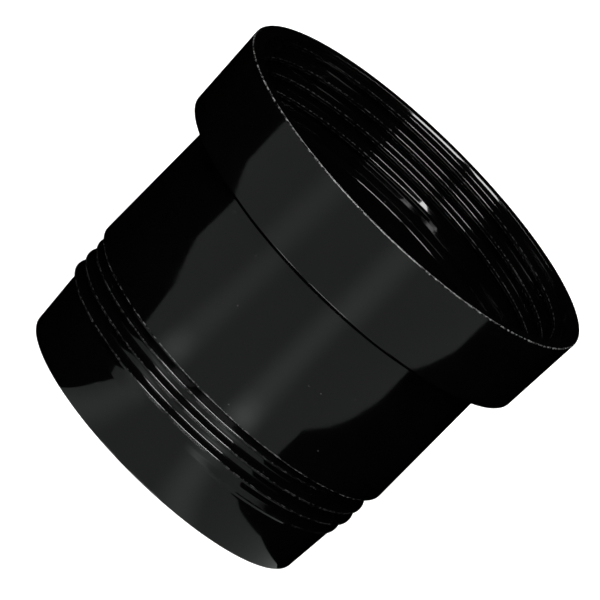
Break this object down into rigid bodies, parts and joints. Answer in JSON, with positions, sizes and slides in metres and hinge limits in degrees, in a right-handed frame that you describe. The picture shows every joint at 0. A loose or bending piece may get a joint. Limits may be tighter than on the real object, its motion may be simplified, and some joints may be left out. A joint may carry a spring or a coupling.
{
  "type": "barlow lens",
  "caption": "Short black Barlow lens with a wide internally threaded collar, a plain barrel and a screw-in tapered nose that carries an air-spaced negative lens pair.",
  "frame": {"origin": "centre of the nose's end face, where the part stands", "axes": "+Z along the optical axis, from the nose towards the threaded mouth"},
  "size_m": [0.0388, 0.0388, 0.0323],
  "materials": {
    "black_gloss_plastic": "moulded gloss",
    "matt_black_plastic": "matt",
    "blackened_spring_steel": "blackened",
    "black_anodised_aluminium": "black anodised satin",
    "black_rubber": "matt",
    "crown_glass": "polished, green anti-reflection coating",
    "flint_glass": "polished, violet anti-reflection coating"
  },
  "bodies": {
    "tube": {"collar": "black_gloss_plastic", "barrel": "black_gloss_plastic", "glare_stop": "matt_black_plastic", "snap_ring": "blackened_spring_steel"},
    "lenses": {"crown_lens": "crown_glass", "flint_lens": "flint_glass", "lens_spacer": "matt_black_plastic"},
    "nose": {"nosepiece": "black_gloss_plastic"},
    "cushion": {"cushion_ring": "black_rubber"},
    "retainer": {"retaining_ring": "black_anodised_aluminium"}
  },
  "joints": [
    {"name": "nose_travel", "type": "slide", "parent": "tube", "child": "lenses", "axis": [0, 0, -1], "range_m": [0, 0.003]},
    {"name": "nose_turn", "type": "hinge", "parent": "lenses", "child": "nose", "pos_m": [0, 0, 0.01006], "axis": [0, 0, -1], "range_deg": [0, 1080]},
    {"name": "retainer_travel", "type": "slide", "parent": "nose", "child": "cushion", "axis": [0, 0, 1], "range_m": [0, 0.0025]},
    {"name": "retainer_turn", "type": "hinge", "parent": "cushion", "child": "retainer", "pos_m": [0, 0, 0.01186], "axis": [0, 0, 1], "range_deg": [0, 900]}
  ],
  "couplings": [
    {"joint": "nose_travel", "follows": "nose_turn", "m_per_rad": 0.00015915},
    {"joint": "retainer_travel", "follows": "retainer_turn", "m_per_rad": 0.00015915}
  ]
}
